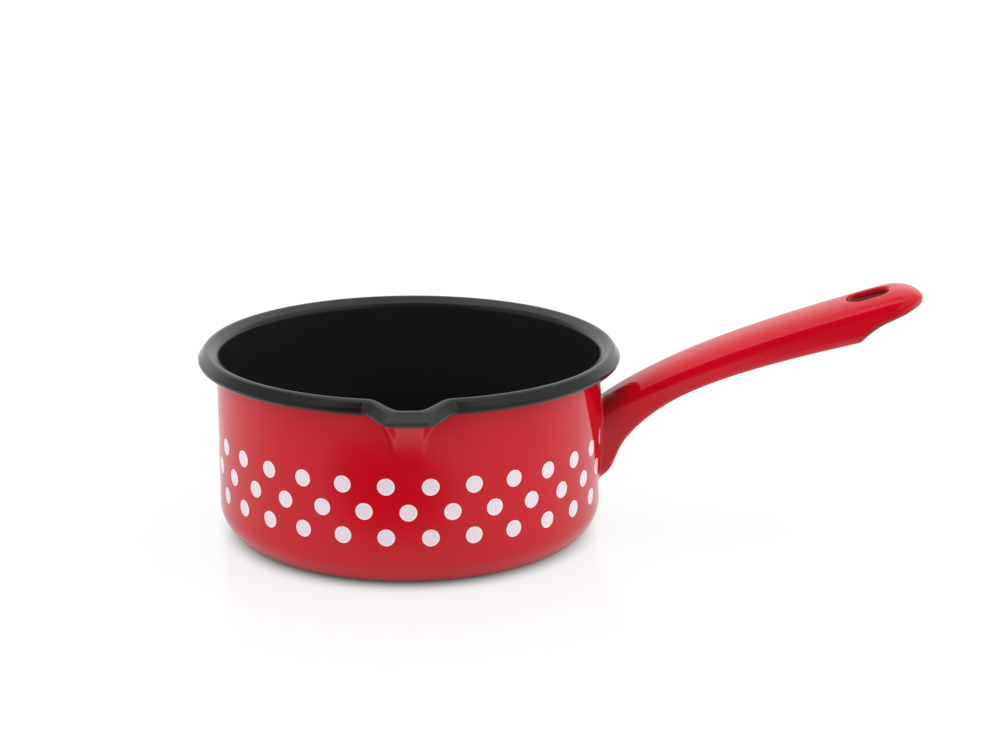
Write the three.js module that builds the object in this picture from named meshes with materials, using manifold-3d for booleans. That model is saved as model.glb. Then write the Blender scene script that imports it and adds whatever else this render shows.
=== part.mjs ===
// Enamelled milk pan: a pot drawn from sheet steel, with a rolled rim and a pressed pouring spout,
// and a pressed steel handle welded to its side. Coats of enamel cover the sheet.
// Millimetres, +Z up. The origin is the centre of the base on the pot's axis, the handle runs along
// +X and the spout faces -Y.

import * as THREE from 'three';
import { mergeVertices } from 'three/addons/utils/BufferGeometryUtils.js';
import Module from 'manifold-3d';

const wasm = await Module();
wasm.setup();

const { degToRad, lerp, smoothstep } = THREE.MathUtils;

// Pot
const potDiameter = 162; // over the enamel on the wall
const potHeight = 80.2; // from the base to the ridge of the rim
const potSheet = 0.8; // steel
const enamel = 0.25; // each coat
const cornerRadius = 14; // outside, where the base turns up into the wall

// Rolled rim, given as the bends of the sheet's middle line after the wall
const flareRadius = 7.9;
const flareAngle = 50; // degrees that the wall leans out
const ridgeRadius = 1.6;
const faceSlope = 53; // degrees that the rim's outer face runs down
const faceLength = 3.5;
const rollRadius = 0.9; // outer edge, where the sheet turns under
const tailRise = 8; // degrees that the rolled end rises towards the wall
const tailLength = 3;

// Pouring spout
const spoutReach = 9; // how far the lip is pressed out
const spoutDroop = 2.1; // how far the lip sinks below the rest of the rim
const spoutFlare = 0.35; // by what part the rim's outer face is rolled out wider there
const spoutDepth = 23; // from the foot of the flare down to the end of the channel
const spoutFade = 1.5; // more makes the channel die away higher up
const channelFloor = 4; // width of the channel's bottom at its lower end
const channelWidth = 12; // width of the whole channel there
const mouthFloor = 5; // the same two widths along the rim
const mouthWidth = 35;

// Handle, in side view along its length from the wall
const handleLength = 135.9;
const rootTop = 55.5; // height of the top line at the wall
const archRise = 16.8; // extra rise of the top line near the root
const archReach = 39.7; // length over which that rise dies away
const handleSlope = 14.8; // degrees that the rest of the top line climbs
const neckDepth = 9; // depth of the section, drawn back to the wall
const endDepth = 18.8; // depth of the section, drawn out to the tip
const rootDrop = 17.2; // how much deeper the section gets towards the wall
const rootSpread = 16; // distance at which half of that drop is left
const toeDrop = 6.8; // further depth of the blunt toe that stands on the wall
const toeSpread = 7; // distance at which half of the toe is left
const toeBluntness = 6; // more makes the toe end more suddenly
const hookStart = 105; // where the lower edges step up, by the hanging slot
const hookRun = 16;
const hookStep = 6.6;
const noseLength = 15.6; // rounded end
const noseTaper = 4; // how much shallower the section gets along the nose
const noseCurve = 1.5; // more keeps that taper nearer to the tip

// Handle, across its section
const handleSheet = 1.2;
const neckWidth = 20.5; // at the wall
const palmWidth = 31; // approached towards the tip
const widthReach = 32; // length over which the neck's narrowness dies away
const crownHeight = 7.5; // from the top of the straight sides to the top line
const crownFullness = 2.5; // 2 is an ellipse, more is squarer
const mostCrown = 0.7; // where the section is shallow, the crown takes no more of its depth
const edgeRadius = 3; // lower edges, where the sheet turns inwards
const edgeLip = 5; // width of that turned edge

// Hanging slot
const slotCentre = 112.6; // distance from the wall
const slotLength = 17;
const slotWidth = 10.4;
const slotCollar = 0.9; // how far its turned-down edge stands below the sheet

// Weld round the root of the handle
const weldRadius = 1.8;
const clearance = 0.3; // between the root, its weld and the wall

// Fineness of the shapes
const potSteps = 54; // round the pot
const crowding = [0.42, 0.17]; // how the steps gather towards the spout
const slotSteps = 8; // round each end of the slot
const reachPast = 10; // how far a cutting tool runs past what it cuts

const red = 0xc0142a;
const black = 0x1c1c1b;

// The sheet's middle line in section

// A pen draws the line from the axis along the base, up the wall and round the rim. Each point
// keeps the line's heading and how far the spout is pressed there, from 0 to 1.
const skin = potSheet / 2 + enamel; // from the middle line to the enamel's surface
const wallRadius = potDiameter / 2 - skin;
const bendRadius = cornerRadius - skin;
const ridgeHeading = 90 - flareAngle;
const flareFoot = potHeight - skin - flareRadius * Math.sin(degToRad(flareAngle))
  - ridgeRadius * (1 - Math.cos(degToRad(ridgeHeading)));
const ridgeReach = wallRadius + flareRadius * (1 - Math.cos(degToRad(flareAngle)))
  + ridgeRadius * Math.sin(degToRad(ridgeHeading)); // from the axis to the rim's highest line
const spoutPoint = flareFoot - spoutDepth;

function drawSheet() {
  const points = [];
  const stops = {};
  let r = 0;
  let z = skin;
  let heading = 0;

  const mark = () => {
    const climb = THREE.MathUtils.clamp((z - spoutPoint) / spoutDepth, 0, 1);
    const press = smoothstep(climb ** spoutFade, 0, 1);
    points.push({ r, z, heading, press: points.some((p) => p.press === 1) ? 1 : press });
  };
  const run = (length, steps) => {
    for (let i = 0; i < steps; i++) {
      r += (length / steps) * Math.cos(heading);
      z += (length / steps) * Math.sin(heading);
      mark();
    }
  };
  // A positive angle turns towards the inside of the pot, a negative one outwards
  const bend = (radius, degrees, steps) => {
    const turn = degToRad(degrees) / steps;
    const chord = 2 * radius * Math.sin(Math.abs(turn) / 2);
    for (let i = 0; i < steps; i++) {
      r += chord * Math.cos(heading + turn / 2);
      z += chord * Math.sin(heading + turn / 2);
      heading += turn;
      mark();
    }
  };
  const stop = (name) => {
    stops[name] = points.length - 1;
  };

  mark();
  run(wallRadius - bendRadius, 1);
  stop('baseEdge');
  bend(bendRadius, 90, 4);
  run(spoutPoint - z, 1);
  run(spoutDepth, 4);
  bend(flareRadius, -flareAngle, 2);
  stop('flareTop');
  bend(ridgeRadius, -ridgeHeading - faceSlope, 3);
  run(faceLength, 1);
  bend(rollRadius, faceSlope - 180 - tailRise, 3);
  run(tailLength, 1);
  stop('tail');
  return { points, stops };
}

const { points: sheetLine, stops } = drawSheet();

// A band of the sheet line between two distances from it, positive towards the inside of the pot.
// Where the band ends away from the axis, it closes on itself.
function band(first, last, outside, inside) {
  const offset = (distance) => sheetLine.slice(first, last + 1).map((p, i) => ({
    r: p.r - distance * Math.sin(p.heading),
    z: p.z + distance * Math.cos(p.heading),
    press: p.press,
    place: first + i,
    distance,
  }));
  const loop = [...offset(outside), ...offset(inside).reverse()];
  return first === 0 ? loop : [...loop, loop[0]];
}

// The pot's forming: a section is turned round the axis, then the spout is pressed out of it

// Part of the full press at a distance along the wall from the middle of the spout. The channel stays
// narrow on the wall and opens out where the press is nearly whole, close to the rim.
function pressShare(press, along) {
  const opened = press ** 3;
  const floor = lerp(channelFloor, mouthFloor, opened);
  const width = lerp(channelWidth, mouthWidth, opened);
  return 1 - smoothstep(along, floor / 2, width / 2);
}

// Every four-sided face is split from its lower corner nearer the spout to its upper corner further
// from it, whichever way its band runs, so both sides of the sheet and both coats split alike.
function turnPot(loop) {
  const geometry = new THREE.LatheGeometry(loop.map((p) => new THREE.Vector2(p.r, p.z)), potSteps);
  const position = geometry.attributes.position;
  for (let i = 0; i <= potSteps; i++) {
    const turn = (2 * Math.PI * i) / potSteps;
    const angle = turn - crowding[0] * Math.sin(turn) - crowding[1] * Math.sin(2 * turn);
    const along = wallRadius * Math.min(angle, 2 * Math.PI - angle);
    loop.forEach((p, j) => {
      const share = pressShare(p.press, along);
      const pastRidge = Math.max(p.r - ridgeReach, 0);
      const r = p.r + (spoutReach * p.press + spoutFlare * pastRidge) * share;
      const z = p.z - spoutDroop * p.press ** 2 * share;
      position.setXYZ(i * loop.length + j, r * Math.sin(angle), -r * Math.cos(angle), z);
    });
  }
  const index = [];
  for (let i = 0; i < potSteps; i++) {
    const leavesSpout = i < potSteps / 2;
    for (let j = 0; j < loop.length - 1; j++) {
      const climb = loop[j + 1].place - loop[j].place || loop[j + 1].distance - loop[j].distance;
      const a = i * loop.length + j;
      const b = a + loop.length;
      const c = b + 1;
      const d = a + 1;
      index.push(...(climb > 0 === leavesSpout ? [a, b, c, a, c, d] : [a, b, d, c, d, b]));
    }
  }
  geometry.setIndex(index);
  return geometry;
}

const steelFace = potSheet / 2;
const steelBody = turnPot(band(0, stops.tail, -steelFace, steelFace));
const interiorEnamel = turnPot(band(0, stops.flareTop, steelFace, skin));
const rimEnamel = turnPot(band(stops.flareTop, stops.tail, steelFace, skin));
const baseEnamel = turnPot(band(0, stops.baseEdge, -skin, -steelFace));
const exteriorEnamel = turnPot(band(stops.baseEdge, stops.flareTop, -skin, -steelFace));

// Solids that are joined and cut

function toSolid(geometry) {
  const bare = geometry.clone();
  bare.deleteAttribute('normal');
  bare.deleteAttribute('uv');
  const merged = mergeVertices(bare, 1e-4);
  const vertProperties = new Float32Array(merged.attributes.position.array);
  const triVerts = new Uint32Array(merged.index.array);
  return new wasm.Manifold(new wasm.Mesh({ numProp: 3, vertProperties, triVerts }));
}

function toGeometry(solid) {
  const mesh = solid.getMesh();
  const geometry = new THREE.BufferGeometry();
  geometry.setAttribute('position', new THREE.BufferAttribute(mesh.vertProperties, 3));
  geometry.setIndex(new THREE.BufferAttribute(mesh.triVerts, 1));
  geometry.computeVertexNormals();
  return geometry;
}

// Rings of equally many points become the skin of a solid, closed by a flat cap at each end. Each
// ring is convex enough for its cap to fan out from its middle.
function loft(rings) {
  const count = rings[0].length;
  const middle = (ring) => ring.reduce((sum, p) => sum.add(p), new THREE.Vector3())
    .divideScalar(ring.length);
  const vertices = [...rings.flat(), middle(rings[0]), middle(rings.at(-1))];
  const last = rings.length - 1;
  const startMiddle = rings.length * count;
  const index = [];
  for (let j = 0; j < count; j++) {
    const next = (j + 1) % count;
    for (let i = 0; i < last; i++) {
      const a = i * count + j;
      const b = i * count + next;
      index.push(a, b, a + count, b, b + count, a + count);
    }
    index.push(startMiddle, next, j);
    index.push(startMiddle + 1, last * count + j, last * count + next);
  }
  const geometry = new THREE.BufferGeometry().setFromPoints(vertices);
  geometry.setIndex(index);
  return geometry;
}

// Handle

const potRadius = potDiameter / 2;
const noseStart = handleLength - noseLength;

// The section at a distance from the wall: half its width, the heights of its top, of the top of its
// straight sides and of its lower edge, and the radius of that edge. Along the nose all of them
// shrink down to a point on the lower edge, as a quarter of an ellipse does.
function handleSection(distance) {
  const out = Math.max(distance, 0); // inside the wall the section stays as it is at the wall
  const nose = Math.max((out - noseStart) / noseLength, 0);
  const shrink = Math.sqrt(Math.max(1 - nose ** 2, 0));
  const topLine = rootTop + archRise * (1 - Math.exp(-out / archReach))
    + out * Math.tan(degToRad(handleSlope));
  const depth = lerp(neckDepth, endDepth, out / handleLength)
    + rootDrop / (1 + (out / rootSpread) ** 2)
    + toeDrop / (1 + (out / toeSpread) ** toeBluntness)
    - hookStep * smoothstep(out, hookStart, hookStart + hookRun)
    - noseTaper * nose ** noseCurve;
  const bottom = topLine - depth;
  const top = bottom + depth * shrink;
  const half = (lerp(palmWidth, neckWidth, Math.exp(-out / widthReach)) / 2) * shrink;
  const sideTop = top - Math.min(crownHeight, mostCrown * depth) * shrink;
  const edge = Math.min(edgeRadius, half / 2, 0.9 * (sideTop - bottom));
  return { half, top, sideTop, bottom, edge };
}

// A quarter of a superellipse from the side of the section up to its top
function crownPoints(half, sideTop, top, steps) {
  const points = [];
  for (let i = 0; i < steps; i++) {
    const angle = (Math.PI / 2) * (i / steps);
    const across = half * Math.cos(angle) ** (2 / crownFullness);
    const up = (top - sideTop) * Math.sin(angle) ** (2 / crownFullness);
    points.push([across, sideTop + up]);
  }
  return points;
}

const crownSteps = 6;
const edgeSteps = 3;

// One side of a section, from its lower edge up to its crown, then mirrored into a closed ring
function ring(distance, side, top) {
  const x = potRadius + distance;
  const mirrored = side.map(([y, z]) => [-y, z]).reverse();
  const outline = [...side, [0, top], ...mirrored];
  return outline.map(([y, z]) => new THREE.Vector3(x, y, z));
}

// Outside of the handle, grown by an amount all round
function outerRing(distance, grow) {
  const { half, top, sideTop, bottom, edge } = handleSection(distance);
  const side = [];
  for (let i = 0; i <= edgeSteps; i++) {
    const angle = (Math.PI / 2) * (i / edgeSteps);
    const across = half + grow - edge * (1 - Math.sin(angle));
    side.push([across, bottom - grow + edge * (1 - Math.cos(angle))]);
  }
  side.push(...crownPoints(half + grow, sideTop, top + grow, crownSteps));
  return ring(distance, side, top + grow);
}

// Hollow of the handle: a sheet's thickness inside the outside, and open between the turned edges
function hollowRing(distance) {
  const { half, top, sideTop, bottom, edge } = handleSection(distance);
  const inner = half - handleSheet;
  const mouth = Math.max(half - edgeLip, inner / 2);
  const side = [
    [mouth, bottom - reachPast],
    [mouth, bottom + handleSheet],
    [inner, bottom + Math.max(edge, handleSheet)],
    ...crownPoints(inner, sideTop, top - handleSheet, crownSteps),
  ];
  return ring(distance, side, top - handleSheet);
}

// Distances along the handle: close together where the root curves and at the hook, and gathered
// towards the tip so that the nose is round
function stations(start, end) {
  const spread = (from, to, steps) => Array.from({ length: steps }, (_, i) => lerp(from, to, i / steps));
  const noseSteps = 7;
  const nose = Array.from({ length: noseSteps + 1 }, (_, i) => lerp(
    noseStart,
    end,
    Math.sin((Math.PI / 2) * (i / noseSteps)),
  ));
  return [
    start,
    ...spread(0, 2 * toeSpread, 7),
    ...spread(2 * toeSpread, hookStart, 9),
    ...spread(hookStart, noseStart, 5),
    ...nose,
  ];
}

const tipBlunt = 0.1; // the nose stops this short of its point, on a small flat
const rootOverlap = 8; // how far the uncut handle runs into the pot

function handleSolid(grow) {
  const rings = stations(-rootOverlap, handleLength - tipBlunt).map((d) => outerRing(d, grow));
  return toSolid(loft(rings));
}

// A shape with straight sides and round ends, standing upright between two heights
function uprightSlot(grow, low, high) {
  const radius = slotWidth / 2 + grow;
  const straight = (slotLength - slotWidth) / 2;
  const shape = new THREE.Shape();
  shape.absarc(straight, 0, radius, -Math.PI / 2, Math.PI / 2);
  shape.absarc(-straight, 0, radius, Math.PI / 2, (3 * Math.PI) / 2);
  const geometry = new THREE.ExtrudeGeometry(shape, {
    depth: high - low,
    bevelEnabled: false,
    curveSegments: slotSteps,
  });
  return toSolid(geometry.translate(potRadius + slotCentre, 0, low));
}

// What the root and its weld keep clear of: the pot's wall, grown by the clearance
function wallTool() {
  const radius = potRadius + clearance;
  const geometry = new THREE.CylinderGeometry(radius, radius, potHeight + 2 * reachPast, 180);
  geometry.rotateX(Math.PI / 2);
  return toSolid(geometry.translate(0, 0, potHeight / 2));
}

// The slot's collar hangs evenly from the sheet, because the hollow itself, moved down, cuts it off
function handleShell() {
  const hollowEnd = handleLength - 2 * handleSheet;
  const hollow = toSolid(loft(stations(-rootOverlap - reachPast, hollowEnd).map(hollowRing)));
  const { top, bottom } = handleSection(slotCentre);
  const low = bottom - reachPast;
  const high = top + reachPast;
  const collar = uprightSlot(handleSheet, low, high).subtract(hollow.translate([0, 0, -slotCollar]));
  const shell = handleSolid(0).subtract(hollow.subtract(collar));
  return shell.subtract(uprightSlot(0, low, high)).subtract(wallTool());
}

// The weld follows the outline of the root, from the foot of one side over the crown to the other
function rootWeld() {
  const { bottom, edge } = handleSection(0);
  const outline = outerRing(0, 0).filter((p) => p.z >= bottom + edge);
  const path = new THREE.CatmullRomCurve3(outline.map((p) => new THREE.Vector3(
    Math.sqrt((potRadius + clearance) ** 2 - p.y ** 2),
    p.y,
    p.z,
  )));
  const section = new THREE.Shape().absarc(0, 0, weldRadius, 0, 2 * Math.PI);
  const bead = new THREE.ExtrudeGeometry(section, {
    extrudePath: path,
    steps: 32,
    curveSegments: 5,
    bevelEnabled: false,
  });
  return toSolid(bead).subtract(wallTool()).subtract(handleSolid(clearance));
}

// The pan

const pan = new THREE.Group();

function addPiece(name, geometry, color, roughness, metalness) {
  const material = new THREE.MeshStandardMaterial({ color, roughness, metalness });
  const mesh = new THREE.Mesh(geometry, material);
  mesh.name = name;
  pan.add(mesh);
}

addPiece('steel_body', steelBody, 0x8c8f92, 0.45, 1);
addPiece('base_enamel', baseEnamel, black, 0.3, 0);
addPiece('exterior_enamel', exteriorEnamel, red, 0.12, 0);
addPiece('interior_enamel', interiorEnamel, black, 0.3, 0);
addPiece('rim_enamel', rimEnamel, black, 0.2, 0);
addPiece('handle_shell', toGeometry(handleShell()), red, 0.12, 0);
addPiece('root_weld', toGeometry(rootWeld()), red, 0.2, 0);

export default pan;
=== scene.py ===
import math
import bmesh
import bpy
import numpy as np
from mathutils import Matrix


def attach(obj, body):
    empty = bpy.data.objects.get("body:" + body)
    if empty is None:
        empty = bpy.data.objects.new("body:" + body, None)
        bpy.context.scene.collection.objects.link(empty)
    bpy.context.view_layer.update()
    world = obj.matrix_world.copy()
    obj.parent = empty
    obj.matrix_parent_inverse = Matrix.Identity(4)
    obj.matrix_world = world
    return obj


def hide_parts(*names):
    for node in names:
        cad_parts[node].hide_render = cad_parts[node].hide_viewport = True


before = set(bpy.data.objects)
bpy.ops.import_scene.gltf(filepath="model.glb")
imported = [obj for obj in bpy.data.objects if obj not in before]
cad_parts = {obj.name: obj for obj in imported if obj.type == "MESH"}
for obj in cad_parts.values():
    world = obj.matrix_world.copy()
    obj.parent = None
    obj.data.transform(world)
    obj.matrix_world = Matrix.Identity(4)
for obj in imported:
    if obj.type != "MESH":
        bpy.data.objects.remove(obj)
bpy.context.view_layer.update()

mm = 0.001  # sizes below are in millimetres, Blender works in metres
print("frame:", len(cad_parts), "CAD nodes")


# Helpers for grids of points

def smoothStep(value, low, high):
    # 0 below low, 1 above high, and an S of third degree between them
    share = np.clip((value - low) / np.maximum(high - low, 1e-9), 0, 1)
    return share * share * (3 - 2 * share)


def gridQuads(rows, columns, closeRows=False, closeColumns=False):
    # cell (i, j) joins points (i, j), (i+1, j), (i+1, j+1) and (i, j+1); a closed way wraps round
    i = np.arange(rows if closeRows else rows - 1)[:, None]
    j = np.arange(columns if closeColumns else columns - 1)[None, :]
    below, after = (i + 1) % rows, (j + 1) % columns
    corners = (i * columns + j, below * columns + j, below * columns + after, i * columns + after)
    return np.stack(np.broadcast_arrays(*corners), -1)


meshing = dict(mergeWithin=0.002, sharpAngle=35)  # doubles in millimetres, sharp edges in degrees


def makePiece(name, points, quads, finish, slot, nodes=(), marks=None):
    # doubles are merged, which closes seams and poles, and then all faces turn outwards
    mesh = bpy.data.meshes.new(name)
    mesh.from_pydata((points.reshape(-1, 3) * mm).tolist(), [], quads.reshape(-1, 4).tolist())
    if marks is not None:
        mesh.attributes.new("marks", "FLOAT", "POINT").data.foreach_set("value", marks.ravel())
    work = bmesh.new()
    work.from_mesh(mesh)
    bmesh.ops.remove_doubles(work, verts=work.verts, dist=meshing["mergeWithin"] * mm)
    bmesh.ops.recalc_face_normals(work, faces=work.faces)
    work.to_mesh(mesh)
    work.free()
    mesh.shade_smooth()
    mesh.set_sharp_from_angle(angle=math.radians(meshing["sharpAngle"]))
    mesh.materials.append(finish)
    piece = bpy.data.objects.new(name, mesh)
    bpy.context.scene.collection.objects.link(piece)
    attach(piece, "root")
    if nodes:
        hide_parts(*nodes)
    print(name, len(mesh.polygons), "faces")


# Shader sums: a wire is a socket, and + - * ** on wires add Math nodes

class Wire:
    def __init__(self, tree, socket=None):
        self.tree = tree
        self.socket = socket

    def node(self, kind, settings, sockets, out=0):
        # any other node: its type, its settings first, then values or wires for its sockets
        made = self.tree.nodes.new("ShaderNode" + kind)
        for key, value in settings.items():
            setattr(made, key, value)
        for key, value in sockets.items():
            if isinstance(value, Wire):
                self.tree.links.new(value.socket, made.inputs[key])
            else:
                made.inputs[key].default_value = value
        return Wire(self.tree, made.outputs[out])

    def feed(self, shader, name):
        self.tree.links.new(self.socket, shader.inputs[name])

    def sum(self, operation, first, second):
        return self.node("Math", {"operation": operation}, {0: first, 1: second})

    def __add__(self, other):
        return self.sum("ADD", self, other)

    def __sub__(self, other):
        return self.sum("SUBTRACT", self, other)

    def __rsub__(self, other):
        return self.sum("SUBTRACT", other, self)

    def __mul__(self, other):
        return self.sum("MULTIPLY", self, other)

    def __pow__(self, other):
        return self.sum("POWER", self, other)

    __radd__ = __add__
    __rmul__ = __mul__

    def ramp(self, low, high, fromValue=0.0, toValue=1.0, kind="SMOOTHSTEP"):
        values = {"Value": self, "From Min": low, "From Max": high, "To Min": fromValue, "To Max": toValue}
        return self.node("MapRange", {"interpolation_type": kind}, values)

    def tint(self, first, second):
        # self goes from the first colour at 0 to the second at 1
        colours = {"Factor": self, 6: (*first, 1), 7: (*second, 1)}
        return self.node("Mix", {"data_type": "RGBA"}, colours, 2)

    def noise(self, scale, detail=2.0):
        return self.node("TexNoise", {}, {"Vector": self, "Scale": scale, "Detail": detail})

    def bump(self, strength, distance):
        return self.node("Bump", {}, {"Height": self, "Strength": strength, "Distance": distance})


def newFinish(name, constants):
    material = bpy.data.materials.new(name)
    material.use_nodes = True
    shader = material.node_tree.nodes["Principled BSDF"]
    for key, value in constants.items():
        shader.inputs[key].default_value = value
    start = Wire(material.node_tree)
    return material, shader, start.node("TexCoord", {}, {}, "Object")


# Finishes

def paintMarks(place, paint, shown, shader):
    # the piece's marks, from 0 to 1, mix another colour into its paint: painted shade on the handle, painted
    # sheen on the rim
    share = place.node("Attribute", {"attribute_name": "marks"}, {}, "Fac")
    colours = {"Factor": share, 6: paint, 7: (*shown, 1)}
    place.node("Mix", {"data_type": "RGBA"}, colours, 2).feed(shader, "Base Color")


glassIor = 1.5              # of every coat
grain = (0.3, 0.75)         # a noise lies mostly between these
# its darkest colour is painted shade, shown on the handle's hollow, nose edges and root
redGloss = dict(
    full=(0.59, 0.0012, 0.012), thin=(0.56, 0.0010, 0.010), paintedShade=(0.15, 0.018, 0.016),
    cloud=(38, 3), cloudRange=(0.35, 0.7),             # noises: scale and detail
    rough=(0.04, 0.07), roughScale=75,
    peel=(110, 1), fine=(430, 1), fineShare=0.12, peelHeight=0.00012,
)


def redEnamel(name, peel):
    # fired glass on steel: nearly even colour, mirror gloss, and the slow waviness of a dipped coat;
    # marks are painted shade, where the colour goes dark red
    g = redGloss
    material, shader, place = newFinish(name, {"IOR": glassIor})
    cloud = place.noise(*g["cloud"]).ramp(*g["cloudRange"]).tint(g["full"], g["thin"])
    paintMarks(place, cloud, g["paintedShade"], shader)
    place.noise(g["roughScale"]).ramp(*grain, *g["rough"]).feed(shader, "Roughness")
    waves = place.noise(*g["peel"]) + g["fineShare"] * place.noise(*g["fine"])
    waves.bump(peel, g["peelHeight"]).feed(shader, "Normal")
    return material


# its lightest colour is painted sheen, shown only on the spout's lip of the rim
blackGloss = dict(
    hue=(1.0, 1.0, 0.94), worn=1.12, wearAndSheen=(0.042, 0.040, 0.037),
    cloud=(55, 4), cloudRange=(0.45, 0.75), roughNoise=(90, 3),
    peel=(140, 1), fine=(520, 2), fineShare=0.15, peelHeight=0.00012,
)


def blackEnamel(name, tone, rough, peel):
    # marks are painted sheen: the coat is painted lighter there
    g = blackGloss
    material, shader, place = newFinish(name, {"IOR": glassIor})
    full, worn = ([tone * wear * part for part in g["hue"]] for wear in (1, g["worn"]))
    cloud = place.noise(*g["cloud"]).ramp(*g["cloudRange"]).tint(full, worn)
    paintMarks(place, cloud, g["wearAndSheen"], shader)
    place.noise(*g["roughNoise"]).ramp(*grain, *rough).feed(shader, "Roughness")
    waves = place.noise(*g["peel"]) + g["fineShare"] * place.noise(*g["fine"])
    waves.bump(peel, g["peelHeight"]).feed(shader, "Normal")
    return material


groundCoat = dict(
    full=(0.010, 0.010, 0.010), wearAndSheen=(0.050, 0.048, 0.045),
    ringScale=900, ringDetail=3, ringRange=(0.5, 0.75), patchScale=30, patchRange=(0.4, 0.65),
    rough=0.28, roughRubbed=0.22, pitScale=400, pits=0.15, pitHeight=0.0001,
)


def baseEnamel(name):
    # black ground coat under the pot, rubbed in rings where it is turned on a hob
    g = groundCoat
    material, shader, place = newFinish(name, {"IOR": glassIor})
    flat = place.node("VectorMath", {"operation": "MULTIPLY"}, {0: place, 1: (1, 1, 0)})
    radius = place.node("VectorMath", {"operation": "LENGTH"}, {0: flat}, "Value")
    ringSockets = {"W": radius, "Scale": g["ringScale"], "Detail": g["ringDetail"]}
    rings = radius.node("TexNoise", {"noise_dimensions": "1D"}, ringSockets)
    wearAndSheen = rings.ramp(*g["ringRange"]) * place.noise(g["patchScale"]).ramp(*g["patchRange"])
    wearAndSheen.tint(g["full"], g["wearAndSheen"]).feed(shader, "Base Color")
    (g["rough"] + g["roughRubbed"] * wearAndSheen).feed(shader, "Roughness")
    (rings + place.noise(g["pitScale"])).bump(g["pits"], g["pitHeight"]).feed(shader, "Normal")
    return material


rolledSteel = dict(stretch=(60, 60, 900), detail=3, low=(0.42, 0.43, 0.44), high=(0.55, 0.56, 0.57),
                   range=(0.3, 0.7), rough=(0.3, 0.45))


def sheetSteel(name):
    # bare sheet under the coats, with the fine lines of rolling
    g = rolledSteel
    material, shader, place = newFinish(name, {"Metallic": 1.0})
    lines = place.node("Mapping", {}, {"Vector": place, "Scale": g["stretch"]}).noise(1, g["detail"])
    lines.tint(g["low"], g["high"]).feed(shader, "Base Color")
    lines.ramp(*g["range"], *g["rough"]).feed(shader, "Roughness")
    return material


dotPrint = dict(middle=(0.86, 0.75, 0.83), edge=(0.97, 0.89, 0.89), ring=(0.80, 0.88),
                rough=(0.10, 0.18), roughScale=200, peelNoise=(300, 1), peel=0.05, peelHeight=0.0001)


def dotTransfer(name):
    # a pale tinted dot on a slightly larger white one, which shows as a ring
    g = dotPrint
    material, shader, place = newFinish(name, {"IOR": glassIor})
    across = place.node("Attribute", {"attribute_name": "marks"}, {}, "Fac")
    across.ramp(*g["ring"]).tint(g["middle"], g["edge"]).feed(shader, "Base Color")
    place.noise(g["roughScale"]).ramp(*grain, *g["rough"]).feed(shader, "Roughness")
    place.noise(*g["peelNoise"]).bump(g["peel"], g["peelHeight"]).feed(shader, "Normal")
    return material


finishes = dict(
    steel=sheetSteel("bareSteel"),
    base=baseEnamel("groundCoat"),
    outside=redEnamel("redCoat", peel=0.16),
    inside=blackEnamel("blackCoat", tone=0.0155, rough=(0.20, 0.26), peel=0.06),
    rim=blackEnamel("rimCoat", tone=0.0100, rough=(0.08, 0.14), peel=0.10),
    handle=redEnamel("handleCoat", peel=0.20),
    dots=dotTransfer("dotPrint"),
)
print("finishes:", len(finishes))


# Pot: one sheet line in section, turned round the axis, with the spout pressed out of it

pot = dict(
    wallRadius=80.35, height=80.2,        # wall to the middle of the sheet; ridge of the rim
    skin=0.65, steelFace=0.4,             # from that middle to the enamel's surface and to the steel's
    bendRadius=13.35,                     # corner of the base
    flareRadius=2.6, flareAngle=60, flareLength=2.55,   # the wall bends and leans out
    ridgeRadius=1.6, faceSlope=53, faceLength=3.0,
    rollRadius=0.9, tailRise=8, tailLength=3,
    rimLean=0.0022,                       # the rim rises a little towards the handle
    around=336, crowding=(0.35, 0.15),    # steps round the pot, gathered towards the spout
)
spout = dict(
    reach=4.5, lipReach=4.8, droop=1.6,   # out on the wall, further out and down at the rim
    flare=0.35, depth=25, fade=1.2,       # further out past the ridge; height on the wall, and how it starts
    aside=0.3,                            # off the middle, away from the handle
    channel=(8.5, 14.5), mouth=(5, 30.5),  # width of its bottom and overall, low on the wall and at the rim
    splay=15.3, lipSpread=(1.9, 1.0),     # widens from below the flare on, and for each mm past the ridge
)


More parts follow.
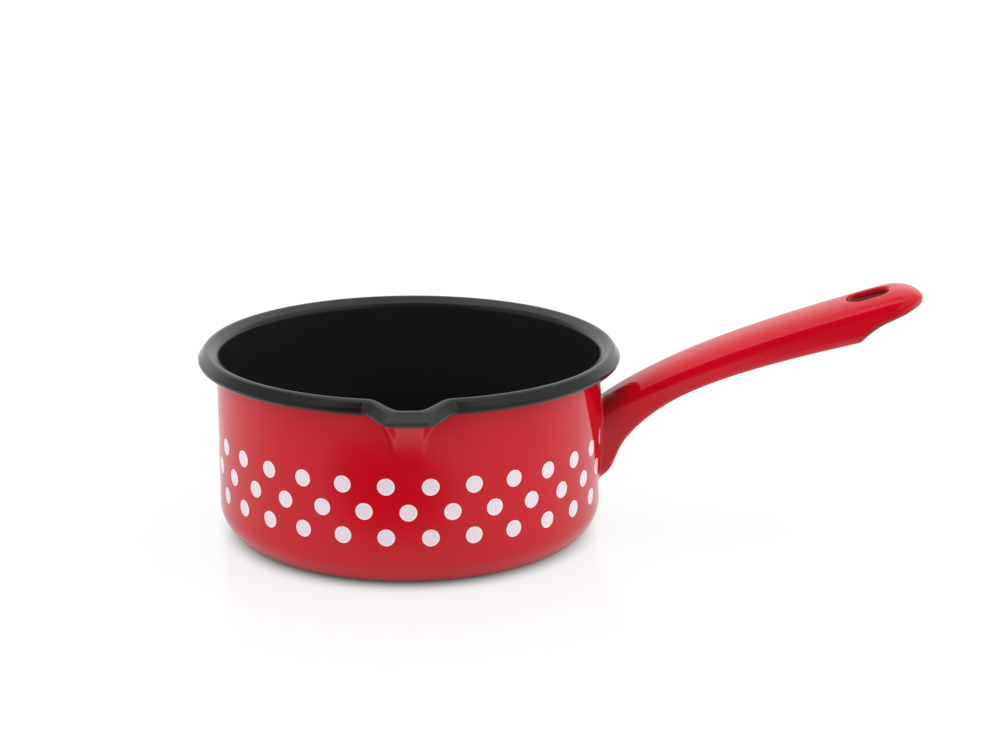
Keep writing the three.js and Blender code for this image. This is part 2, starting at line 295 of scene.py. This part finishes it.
def drawSheet():
    # A pen draws the sheet's middle line. A stroke with no turn runs straight on, and one with a turn
    # keeps to a circle, to the left for a positive turn. Each point keeps the pen's heading.
    ridgeTurn = 90 - pot["flareAngle"]
    lean = math.radians(pot["flareAngle"])
    flareFoot = (pot["height"] - pot["skin"] - pot["flareRadius"] * math.sin(lean)
                 - pot["flareLength"] * math.cos(lean) - pot["ridgeRadius"] * (1 - math.sin(lean)))
    straightWall = flareFoot - spout["depth"] - pot["skin"] - pot["bendRadius"]
    strokes = (  # name of the end, turn in degrees, length or radius, steps
        ("baseEdge", 0, pot["wallRadius"] - pot["bendRadius"], 10),
        ("wallFoot", 90, pot["bendRadius"], 18),
        ("spoutPoint", 0, straightWall, 14),
        ("flareFoot", 0, spout["depth"], 24),
        ("flareBend", -pot["flareAngle"], pot["flareRadius"], 12),
        ("flareTop", 0, pot["flareLength"], 5),
        ("faceTop", -ridgeTurn - pot["faceSlope"], pot["ridgeRadius"], 14),
        ("faceFoot", 0, pot["faceLength"], 4),
        ("tailFoot", pot["faceSlope"] - 180 - pot["tailRise"], pot["rollRadius"], 14),
        ("tail", 0, pot["tailLength"], 3),
        ("fold", -180, 0, 8),             # the enamel turns round the end of the sheet
        ("foldEnd", 0, pot["tailLength"], 3),
    )
    at, heading = np.array([0.0, pot["skin"]]), 0.0
    places, headings, stops = [at[None]], [np.zeros(1)], {}
    for end, turn, size, steps in strokes:
        share = np.arange(1, steps + 1) / steps
        angles = heading + math.radians(turn) * share
        if turn:
            side = size * math.copysign(1, turn)
            centre = at + side * np.array([-math.sin(heading), math.cos(heading)])
            stroke = centre + side * np.stack([np.sin(angles), -np.cos(angles)], -1)
        else:
            stroke = at + size * share[:, None] * np.array([math.cos(heading), math.sin(heading)])
        at, heading = stroke[-1], angles[-1]
        places.append(stroke)
        headings.append(angles)
        stops[end] = sum(map(len, headings)) - 1
    line, heading = np.concatenate(places), np.concatenate(headings)
    climb = np.clip((line[:, 1] - flareFoot) / spout["depth"] + 1, 0, 1)
    press = smoothStep(climb ** spout["fade"], 0, 1)
    press[stops["flareFoot"]:] = 1
    widening = np.maximum.accumulate(smoothStep(line[:, 1], flareFoot - spout["splay"], line[:, 1].max()))
    return line, heading, press, widening, stops


sheetLine, sheetHeading, sheetPress, sheetWidening, stops = drawSheet()
ridgeRadius = sheetLine[sheetLine[:, 1].argmax(), 0]


def coat(first, last, outside, inside):
    # Section of a coat: the sheet line moved sideways by two distances, there and back. It is then
    # turned round the axis. At an angle from the spout, a share of the press moves each point out by
    # the reach and down by the droop, and the rim flares there; the channel widens with the height,
    # and the rim's lean grows with it.
    part = slice(first, last + 1)
    across = np.stack([-np.sin(sheetHeading[part]), np.cos(sheetHeading[part])], -1)
    there, back = sheetLine[part] + outside * across, sheetLine[part] + inside * across
    section = np.concatenate([there, back[::-1]])
    press, widening = (np.concatenate([v[part], v[part][::-1]]) for v in (sheetPress, sheetWidening))
    turn = np.linspace(-math.pi, math.pi, pot["around"], endpoint=False)
    angle = turn - pot["crowding"][0] * np.sin(turn) - pot["crowding"][1] * np.sin(2 * turn)
    along = np.abs(pot["wallRadius"] * angle + spout["aside"])[:, None]
    beyondRidge = np.maximum(section[:, 0] - ridgeRadius, 0)
    bottom, width = (low + (high - low) * widening + spread * beyondRidge
                     for low, high, spread in zip(spout["channel"], spout["mouth"], spout["lipSpread"]))
    share = 1 - smoothStep(along, bottom / 2, width / 2)
    push = spout["reach"] * press + spout["lipReach"] * widening + spout["flare"] * beyondRidge
    radius = section[:, 0] + push * share
    x, y = radius * np.sin(angle)[:, None], -radius * np.cos(angle)[:, None]
    height = section[:, 1] - spout["droop"] * press ** 2 * share + pot["rimLean"] * x * widening
    points = np.stack([x, y, height], -1)
    return points, gridQuads(pot["around"], len(section), True, first > 0), share


skin, steelFace = pot["skin"], pot["steelFace"]
makePiece("steelBody", *coat(0, stops["tail"], -steelFace, steelFace)[:2],
          finishes["steel"], "sheet_steel", ["steel_body"])
makePiece("baseEnamel", *coat(0, stops["baseEdge"], -skin, -steelFace)[:2],
          finishes["base"], "base_coat", ["base_enamel"])
makePiece("exteriorEnamel", *coat(stops["baseEdge"], stops["faceTop"], -skin, -steelFace)[:2],
          finishes["outside"], "red_coat", ["exterior_enamel"])
makePiece("interiorEnamel", *coat(0, stops["flareTop"], steelFace, skin)[:2],
          finishes["inside"], "black_coat", ["interior_enamel"])

# painted sheen: the spout's lip is painted lighter in place of its reflection, most at its lower edge:
# shares, and turns in radians past the rim's face
lipSheen = dict(face=0.35, edge=0.65, faceTurn=(-0.5, 0), edgeTurn=(0, 0.12), end=(1.6, 2.2))
rimPoints, rimQuads, spoutShare = coat(stops["flareTop"], stops["foldEnd"], steelFace, skin)
turned = sheetHeading[stops["faceFoot"]] - sheetHeading[stops["flareTop"]:stops["foldEnd"] + 1]
wearAndSheen = (lipSheen["face"] * smoothStep(turned, *lipSheen["faceTurn"])
          + lipSheen["edge"] * smoothStep(turned, *lipSheen["edgeTurn"]))
wearAndSheen *= 1 - smoothStep(turned, *lipSheen["end"])
makePiece("rimEnamel", rimPoints, rimQuads, finishes["rim"], "rim_coat", ["rim_enamel"],
          marks=spoutShare * np.concatenate([wearAndSheen, wearAndSheen[::-1]]))


# Handle: a pressed sheet, open below, whose section changes with the distance from the wall

handle = dict(
    wall=81, length=135.8, rootTop=55.75,
    archRise=16.8, archReach=39.7, slope=14.8,         # top line
    neckDepth=9, endDepth=18.8, rootDrop=17.2, rootSpread=16,
    toeDrop=6.8, toeSpread=7, toeBluntness=6,
    hookStart=107.5, hookRun=16.6, hookStep=7.06, hookLean=0.587,   # lower edges step up by the slot
    noseLength=15.6, noseTaper=3.2, noseCurve=1.24,
    sheet=1.2, neckWidth=20.5, palmWidth=31, widthReach=32,
    crownHeight=7.5, crownFullness=2.5, mostCrown=0.7,
    edgeRadius=3, tipEdge=1.9, edgeLip=5, mostEdge=0.9, mostInset=0.6,
    rootSink=0.2, rootRun=20, rootBend=25, hookLead=8,  # into the wall; stretches near the wall and the hook
    steps=(43, 69, 25, 30),                            # along the root, the palm, the hook and the nose
)
sectionSteps = dict(lip=4, edge=9, side=8, crown=25)    # points of half a section


def handleSection(distance):
    # Half width, top, top of the side, lower edge, its radius, and how far the nose has shrunk, as
    # arrays. The top line is an arch that dies away plus a slope; the depth grows evenly, with a drop
    # and a blunt toe at the wall and a step at the hook; the nose shrinks down to the lower edge as a
    # quarter of an ellipse.
    h, d = handle, np.maximum(distance, 0)
    nose = np.maximum((d - h["length"] + h["noseLength"]) / h["noseLength"], 0)
    shrink = np.sqrt(np.maximum(1 - nose ** 2, 0))
    pastHook = np.clip((d - h["hookStart"]) / h["hookRun"], 0, 1)
    topLine = (h["rootTop"] + h["archRise"] * (1 - np.exp(-d / h["archReach"]))
               + d * math.tan(math.radians(h["slope"])))
    depth = (h["neckDepth"] + (h["endDepth"] - h["neckDepth"]) * d / h["length"]
             + h["rootDrop"] / (1 + (d / h["rootSpread"]) ** 2)
             + h["toeDrop"] / (1 + (d / h["toeSpread"]) ** h["toeBluntness"])
             - h["hookStep"] * smoothStep(pastHook ** h["hookLean"], 0, 1)
             - h["noseTaper"] * nose ** h["noseCurve"])
    bottom = topLine - depth
    top = bottom + depth * shrink
    width = h["palmWidth"] + (h["neckWidth"] - h["palmWidth"]) * np.exp(-d / h["widthReach"])
    half = width / 2 * shrink
    sideTop = top - np.minimum(h["crownHeight"], h["mostCrown"] * depth) * shrink
    edge = h["edgeRadius"] + (h["tipEdge"] - h["edgeRadius"]) * smoothStep(pastHook, 0, 1)
    edge = np.minimum(np.minimum(edge, half / 2), h["mostEdge"] * (sideTop - bottom))
    return half, top, sideTop, bottom, edge, shrink


crownAngles = np.linspace(0, math.pi / 2, sectionSteps["crown"])


def crownCurve(value):
    # one coordinate of a superellipse, from the sine or cosine of its angle
    return np.maximum(value, 0) ** (2 / handle["crownFullness"])


def handleSkin(distance, inset):
    # Half a section runs along the turned-in lip, round the lower edge, up the side and over the crown;
    # its mirror image follows. The root end is bent to the round wall.
    half, top, sideTop, bottom, edge, shrink = (v[:, None] for v in handleSection(distance))
    inset = np.minimum(inset * shrink, handle["mostInset"] * edge)
    mouth = np.maximum(half - handle["edgeLip"] * shrink, (half - inset) / 2)
    share = np.linspace(0, 1, sectionSteps["lip"], endpoint=False)
    bend = np.linspace(0, math.pi / 2, sectionSteps["edge"], endpoint=False)
    rise = np.linspace(0, 1, sectionSteps["side"], endpoint=False)
    flat = np.ones_like(rise)
    y = np.concatenate([
        mouth + (half - edge - mouth) * share,
        half - edge + (edge - inset) * np.sin(bend),
        (half - inset) * flat,
        (half - inset) * crownCurve(np.cos(crownAngles)),
    ], 1)
    z = np.concatenate([
        bottom + inset + 0 * share,
        bottom + edge - (edge - inset) * np.cos(bend),
        bottom + edge + (sideTop - bottom - edge) * rise,
        sideTop + (top - inset - sideTop) * crownCurve(np.sin(crownAngles)),
    ], 1)
    y = np.concatenate([y, -y[:, -2::-1]], 1)
    z = np.concatenate([z, z[:, -2::-1]], 1)
    wall = handle["wall"]
    sag = wall - np.sqrt(wall ** 2 - y ** 2)
    x = wall + distance[:, None] - sag * (1 - smoothStep(distance[:, None], 0, handle["rootBend"]))
    return np.stack([x, y, z], -1)


hangingSlot = dict(
    centre=112.3, aside=-0.8, length=17.6, width=11.6,
    collar=2.1, lip=1.2,                               # height of the edge under the crown, and its radius
    margin=3.2, lines=8,                               # window in the handle's grid, before and beside it
    steps=dict(crown=6, lip=9, collar=5, under=4, back=5),
)


def slotRing(corner, inset, out, drop):
    # Points round the slot: from the nearest point of its middle line, half its width and then "out"
    # further towards the corner points given; they lie below the crown there by "drop".
    middle = handle["wall"] + hangingSlot["centre"]
    straight = (hangingSlot["length"] - hangingSlot["width"]) / 2
    core = np.stack([np.clip(corner[:, 0], middle - straight, middle + straight),
                     np.full(len(corner), hangingSlot["aside"])], -1)
    away = corner[:, :2] - core
    reach = np.linalg.norm(away, axis=1, keepdims=True)
    spare = reach - hangingSlot["width"] / 2
    plan = core + away / reach * (hangingSlot["width"] / 2 + out(spare))
    half, top, sideTop, _, edge, shrink = handleSection(plan[:, 0] - handle["wall"])
    inset = np.minimum(inset * shrink, handle["mostInset"] * edge)
    share = np.abs(plan[:, 1]) / (half - inset)
    fullness = handle["crownFullness"]
    crown = sideTop + (top - inset - sideTop) * (1 - share ** fullness) ** (1 / fullness)
    return np.column_stack([plan, crown - drop])


# painted shade on the handle: where its colour goes dark, and how much
paintedShadeMarks = dict(
    tip=(103, 110), edge=(12, 14), tipShare=0.75,      # distances from the wall, and lines of the section
    root=(4, 15), crown=(14, 32), rootShares=(0.1, 0.8),
    hollow=0.55, fadeRings=4,
)


def buildHandle():
    h, s = handle, hangingSlot
    noseStart = h["length"] - h["noseLength"]
    hookLead = h["hookStart"] - h["hookLead"]
    rootSteps, palmSteps, hookSteps, noseSteps = h["steps"]
    stations = np.concatenate([
        np.linspace(-h["rootSink"], h["rootRun"], rootSteps, endpoint=False),
        np.linspace(h["rootRun"], hookLead, palmSteps, endpoint=False),
        np.linspace(hookLead, noseStart, hookSteps, endpoint=False),
        noseStart + h["noseLength"] * np.sin(np.linspace(0, math.pi / 2, noseSteps)),
    ])
    outer, inner = handleSkin(stations, 0), handleSkin(stations, h["sheet"])
    rows, columns = outer.shape[:2]
    quads = gridQuads(rows, columns)

    # window of the grid that the slot's rings fill
    first = np.searchsorted(stations, s["centre"] - s["length"] / 2 - s["margin"])
    last = np.searchsorted(stations, s["centre"] + s["length"] / 2 + s["margin"])
    left, right = columns // 2 - s["lines"], columns // 2 + s["lines"]
    keep = np.ones(quads.shape[:2], bool)
    keep[first:last, left:right] = False
    i = np.concatenate([np.full(right - left, first), np.arange(first, last),
                        np.full(right - left, last), np.arange(last, first, -1)])
    j = np.concatenate([np.arange(left, right), np.full(last - first, right),
                        np.arange(right, left, -1), np.full(last - first, left)])

    # rings: in from the window over the crown, round the lip, down the collar, under it and out again
    lip, sheet, collar, steps = s["lip"], h["sheet"], s["collar"], s["steps"]
    rings = [slotRing(outer[i, j], 0, lambda spare, t=t: lip + (spare - lip) * t, 0)
             for t in np.linspace(1, 0, steps["crown"], endpoint=False)]
    rings += [slotRing(outer[i, j], 0, lambda spare, a=a: lip * (1 - math.cos(a)), lip * (1 - math.sin(a)))
              for a in np.linspace(math.pi / 2, 0, steps["lip"])]
    rings += [slotRing(outer[i, j], 0, lambda spare: 0, lip + (collar - lip) * t)
              for t in np.linspace(0, 1, steps["collar"] + 1)[1:]]
    rings += [slotRing(inner[i, j], 0, lambda spare: sheet, collar)]
    rings += [slotRing(inner[i, j], sheet, lambda spare: sheet, (collar - sheet) * t)
              for t in np.linspace(1, 0, steps["under"] + 1)[1:]]
    rings += [slotRing(inner[i, j], sheet, lambda spare, t=t: sheet + (spare - sheet) * t, 0)
              for t in np.linspace(0, 1, steps["back"] + 1)[1:]]
    band = np.stack(rings)

    # painted shade: dark red in the hollow, past the lip of the slot, under the edges of the nose and at the
    # root
    line = np.minimum(np.arange(columns), np.arange(columns)[::-1])   # counts from the lips to the crown
    nearTip = paintedShadeMarks["tipShare"] * smoothStep(stations, *paintedShadeMarks["tip"])[:, None]
    nearTip = nearTip * (1 - smoothStep(line, *paintedShadeMarks["edge"]))
    nearRoot = 1 - smoothStep(stations, *paintedShadeMarks["root"])[:, None]
    onCrown = smoothStep(line, *paintedShadeMarks["crown"])
    low, high = paintedShadeMarks["rootShares"]
    outerShade = np.maximum(nearTip, nearRoot * (low + (high - low) * onCrown))
    pastLip = (np.arange(len(band)) - steps["crown"] - steps["lip"]) / paintedShadeMarks["fadeRings"]
    ringShade = paintedShadeMarks["hollow"] * np.clip(pastLip + 1, 0, 1)
    paintedShade = np.concatenate([outerShade.ravel(), np.full(rows * columns, paintedShadeMarks["hollow"]),
                             np.repeat(ringShade, len(i))])

    count = rows * columns
    outside = np.arange(count).reshape(rows, columns)
    inside = outside + count
    lips = np.concatenate([
        np.stack([outside[:-1, c], outside[1:, c], inside[1:, c], inside[:-1, c]], -1) for c in (0, -1)])
    root = np.stack([outside[0, :-1], outside[0, 1:], inside[0, 1:], inside[0, :-1]], -1)
    points = np.concatenate([outer.reshape(-1, 3), inner.reshape(-1, 3), band.reshape(-1, 3)])
    faces = np.concatenate([
        quads[keep], quads[keep] + count, lips, root,
        gridQuads(len(band), len(i), False, True).reshape(-1, 4) + 2 * count])
    return points, faces, paintedShade


handlePoints, handleFaces, handleShade = buildHandle()
makePiece("handleShell", handlePoints, handleFaces, finishes["handle"], "handle_coat", ["handle_shell"],
          marks=handleShade)


weld = dict(radius=1.6, depth=0.5, steps=9, fromLine=8)


def buildWeld():
    # A hollow quarter circle between wall and handle, carried along the outline of the root; its back
    # lies inside both. "off" is the distance from the wall, "out" the distance from the handle.
    bend = np.linspace(0, math.pi / 2, weld["steps"])
    off = np.concatenate([weld["radius"] * (1 - np.sin(bend)), [-weld["depth"], -weld["depth"]]])
    out = np.concatenate([weld["radius"] * (1 - np.cos(bend)), [weld["radius"], -weld["depth"]]])
    path = handleSkin(np.maximum(off, 0), 0)
    path = path[:, weld["fromLine"]:-weld["fromLine"]]          # from one lower edge to the other
    along = np.gradient(path[:, :, 1:], axis=1)
    along /= np.linalg.norm(along, axis=2, keepdims=True)
    normal = np.stack([along[:, :, 1], -along[:, :, 0]], -1)
    plan = path[:, :, 1:] + out[:, None, None] * normal
    wall = np.sqrt(handle["wall"] ** 2 - plan[:, :, 0] ** 2)
    points = np.stack([wall + off[:, None], plan[:, :, 0], plan[:, :, 1]], -1)
    ends = points[:, [0, -1]].mean(0)
    points = np.concatenate([np.broadcast_to(ends[0], points[:, :1].shape), points,
                             np.broadcast_to(ends[1], points[:, :1].shape)], 1)
    return points, gridQuads(*points.shape[:2], True, False)


makePiece("rootWeld", *buildWeld(), finishes["handle"], "handle_coat", ["root_weld"])


# Dots: three rows round the wall, each row half a step from its neighbours

dots = dict(
    rows=(43.6, 33.05, 22.55), shift=(0.5, 0, 0.5),    # heights, and shares of a step
    count=29, phase=-0.62, lean=0.006, diameter=6.95, raised=0.05, around=28,
    across=(0, 0.45, 0.80, 0.88, 0.97, 1.0, 1.0, 0),   # rings from the middle to the rim, and back inside
    lift=(1, 1, 1, 1, 1, 0.5, -1, -1),
    rootHalf=8.6, covered=0.4,
)


def buildDots():
    # A dot is a disc of rings wrapped on the wall; its rim goes down into the coat under it.
    wall = handle["wall"]
    share, lift = np.array(dots["across"]), np.array(dots["lift"]) * dots["raised"]
    turn = np.linspace(0, 2 * math.pi, dots["around"], endpoint=False)
    step = 2 * math.pi / dots["count"]
    place = np.arange(dots["count"])[None] + np.array(dots["shift"])[:, None]
    angle = place * step + math.radians(dots["phase"])
    height = np.array(dots["rows"])[:, None] - dots["lean"] * wall * np.sin(angle)
    # the handle's root leaves no room for those whose middle it covers
    room = dots["rootHalf"] + dots["covered"] * dots["diameter"]
    clear = (np.abs(wall * np.cos(angle)) > room) | (np.sin(angle) < 0)
    angle, height = angle[clear][:, None, None], height[clear][:, None, None]
    reach = share[:, None] * dots["diameter"] / 2
    bearing = angle + reach * np.cos(turn) / wall
    radius = wall + np.broadcast_to(lift[:, None], bearing.shape)
    points = np.stack([radius * np.sin(bearing), -radius * np.cos(bearing),
                       np.broadcast_to(height + reach * np.sin(turn), bearing.shape)], -1)
    one = gridQuads(len(share), len(turn), False, True).reshape(-1, 4)
    quads = one[None] + (np.arange(len(angle)) * share.size * turn.size)[:, None, None]
    return points, quads, np.broadcast_to(share[:, None], bearing.shape)


dotPoints, dotQuads, dotAcross = buildDots()
makePiece("dotTransfers", dotPoints, dotQuads, finishes["dots"], "dot_transfer", marks=dotAcross)


# Floor, world, lamps and camera

white = (1, 1, 1, 1)
board = dict(
    size=6.0, lines=5, sink=0.15, tone=0.80,            # metres, and millimetres below the pan
    seenTone=0.15, seenGlow=0.86,                       # as the camera sees it
    farGlow=(0.4, 1.5, 0, 0.08),                        # four numbers: from, to, and the levels at both
    contactReach=0.022, contactSamples=16, contactRange=(0.42, 1.0), contactPower=1.3,
    contactSides=(-0.1, 0.1, 1.04, 0.96),
    mirror=(0.08, 0.24, 0.075, 0.006), mirrorRough=0.2,
    shineDepth=(-0.2, 0.1, 0.56, 0.88), shineSide=(0, 0.2, 0, 0.08),   # as the enamel mirrors it
    shineFront=(-0.36, -0.24, 0.16, 1), shineFoot=(0.070, 0.083, 0.1, 1),
    flagPlace=(-0.042, -0.207), flagHalf=(0.10, 0.063), flagFade=2.2, flagDepth=0.5,
)


def buildFloor():
    edge = np.linspace(-board["size"], board["size"], board["lines"])
    x, y = np.meshgrid(edge, edge, indexing="ij")
    mesh = bpy.data.meshes.new("floor")
    points = np.stack([x, y, np.full_like(x, -board["sink"] * mm)], -1).reshape(-1, 3)
    mesh.from_pydata(points.tolist(), [], gridQuads(*x.shape).reshape(-1, 4).tolist())
    floor = bpy.data.objects.new("floor", mesh)
    bpy.context.scene.collection.objects.link(floor)
    material = bpy.data.materials.new("whiteBoard")
    material.use_nodes = True
    tree = material.node_tree
    tree.nodes.clear()
    start = Wire(tree)
    seen = start.node("LightPath", {}, {}, "Is Camera Ray")
    glossy = start.node("LightPath", {}, {}, "Is Glossy Ray")
    place = start.node("TexCoord", {}, {}, "Object")
    x, y = (start.node("SeparateXYZ", {}, {0: place}, axis) for axis in ("X", "Y"))

    # as the camera sees it: white, with a painted contact shadow where the pan stands on it, and a faint
    # mirror image
    samples, reach = {"samples": board["contactSamples"]}, {"Distance": board["contactReach"]}
    gap = 1 - start.node("AmbientOcclusion", samples, reach, "AO")
    near = (gap * x.ramp(*board["contactSides"])).ramp(*board["contactRange"], kind="LINEAR")
    contact = 1 - near ** board["contactPower"]
    tone = seen.tint([board["tone"]] * 3, [board["seenTone"]] * 3)
    matt = start.node("BsdfDiffuse", {}, {"Color": tone})
    radius = start.node("VectorMath", {"operation": "LENGTH"}, {0: place}, "Value")
    strength = (board["seenGlow"] * contact + radius.ramp(*board["farGlow"])) * seen
    glow = start.node("Emission", {}, {"Color": white, "Strength": strength})
    lit = start.node("AddShader", {}, {0: matt, 1: glow})
    image = radius.ramp(*board["mirror"]) * seen
    mirror = start.node("BsdfGlossy", {}, {"Color": white, "Roughness": board["mirrorRough"]})
    mixed = start.node("MixShader", {}, {0: image, 1: lit, 2: mirror})

    # as the enamel mirrors it, the floor glows with painted light: lighter towards the back, darker near the
    # pan's foot, with a painted dark flag in front of the pan
    across, along = ((axis - middle) * (1 / half)
                     for axis, middle, half in zip((x, y), board["flagPlace"], board["flagHalf"]))
    flag = (across * across + along * along).ramp(0, board["flagFade"], 1, 0)
    shine = y.ramp(*board["shineDepth"]) + x.ramp(*board["shineSide"]) - board["flagDepth"] * flag
    shine = shine * y.ramp(*board["shineFront"]) * radius.ramp(*board["shineFoot"])
    mirrored = start.node("Emission", {}, {"Color": white, "Strength": shine})
    whole = start.node("MixShader", {}, {0: glossy, 1: mixed, 2: mirrored})
    output = tree.nodes.new("ShaderNodeOutputMaterial")
    whole.feed(output, "Surface")
    mesh.materials.append(material)


buildFloor()


room = dict(
    even=0.74, dark=0.012, bright=0.94,                 # soft light; mirrored behind the camera, and above
    sides=(0.12, 0.45), sideDepth=(-0.2, 0.2, 0.65, 0.45), back=(0.3, 0.8), low=(0, 0.2, 0.85, 1),
    gapTop=(0.85, 0.97), gapSide=(-0.24, -0.1), gapBack=(-0.15, 0.1), gapDepth=0.5,
    lean=0.5, leanBlur=(-0.06, 0.06), rightGlow=(0.2, 0.5, 0, 0.42), leftGlow=(-0.85, -0.45, 0.3, 0),
)


def buildWorld():
    # white where the camera sees it; reflections see a bright top and back with a gap between them,
    # dimmer sides, and a dark room behind the camera with a glow on both sides, parted from the top by
    # a plane that leans forward
    world = bpy.data.worlds.new("studio")
    world.use_nodes = True
    bpy.context.scene.world = world
    tree = world.node_tree
    tree.nodes.clear()
    start = Wire(tree)
    seen = start.node("LightPath", {}, {}, "Is Camera Ray")
    glossy = start.node("LightPath", {}, {}, "Is Glossy Ray")
    way = start.node("TexCoord", {}, {}, "Generated")
    x, y, z = (start.node("SeparateXYZ", {}, {0: way}, axis) for axis in ("X", "Y", "Z"))
    side = 1 - (x * x).ramp(*room["sides"]) * x.ramp(*room["sideDepth"])
    gap = z.ramp(*room["gapTop"]) * x.ramp(*room["gapSide"]) * y.ramp(*room["gapBack"])
    dimmed = (side + (1 - side) * y.ramp(*room["back"])) * z.ramp(*room["low"])
    dimmed = dimmed * (1 - room["gapDepth"] * gap)
    ahead = (y + room["lean"] * z).ramp(*room["leanBlur"])
    glow = x.ramp(*room["rightGlow"]) + x.ramp(*room["leftGlow"])
    mirrored = room["dark"] + room["bright"] * dimmed * ahead + glow * (1 - ahead)
    level = seen + (1 - seen) * (glossy * mirrored + (1 - glossy) * room["even"])
    sky = start.node("Background", {}, {"Color": white, "Strength": level})
    output = tree.nodes.new("ShaderNodeOutputWorld")
    sky.feed(output, "Surface")


buildWorld()

lamps = dict(
    keyLamp=dict(place=(1.25, -0.25, 0.85), size=0.9, power=7.0),
    fillLamp=dict(place=(-1.25, -0.25, 0.75), size=0.9, power=4.7),
    topLamp=dict(place=(0.05, 0.25, 1.50), size=1.2, power=8.0),
)
lampAim = (0.04, 0, 0.05)
for name, lamp in lamps.items():
    light = bpy.data.lights.new(name, "AREA")
    light.size, light.energy = lamp["size"], lamp["power"]
    carrier = bpy.data.objects.new(name, light)
    bpy.context.scene.collection.objects.link(carrier)
    back = np.array(lamp["place"]) - np.array(lampAim)
    back /= np.linalg.norm(back)
    side = np.cross([0, 0, 1], back)
    side /= np.linalg.norm(side)
    up = np.cross(back, side)
    turn = Matrix(np.column_stack([side, up, back]).tolist()).to_4x4()
    carrier.matrix_world = Matrix.Translation(lamp["place"]) @ turn
    carrier.visible_glossy = False        # the world stands for it in reflections

view = dict(place=(0.0, -0.8648165, 0.3112191), lens=76.39, sensor=36, nearest=0.01,
            right=(0.9990883, -0.0421789, 0.0066326), up=(0.0051198, 0.2725658, 0.9621237))
cameraData = bpy.data.cameras.new("photoCamera")
cameraData.sensor_fit, cameraData.sensor_width = "HORIZONTAL", view["sensor"]
cameraData.lens, cameraData.clip_start = view["lens"], view["nearest"]
camera = bpy.data.objects.new("photoCamera", cameraData)
bpy.context.scene.collection.objects.link(camera)
axes = np.column_stack([view["right"], view["up"], np.cross(view["right"], view["up"])])
camera.matrix_world = Matrix.Translation(view["place"]) @ Matrix(axes.tolist()).to_4x4()
bpy.context.scene.camera = camera
bpy.context.scene.view_settings.view_transform = "Standard"
print("floor, world,", len(lamps), "lamps and camera")
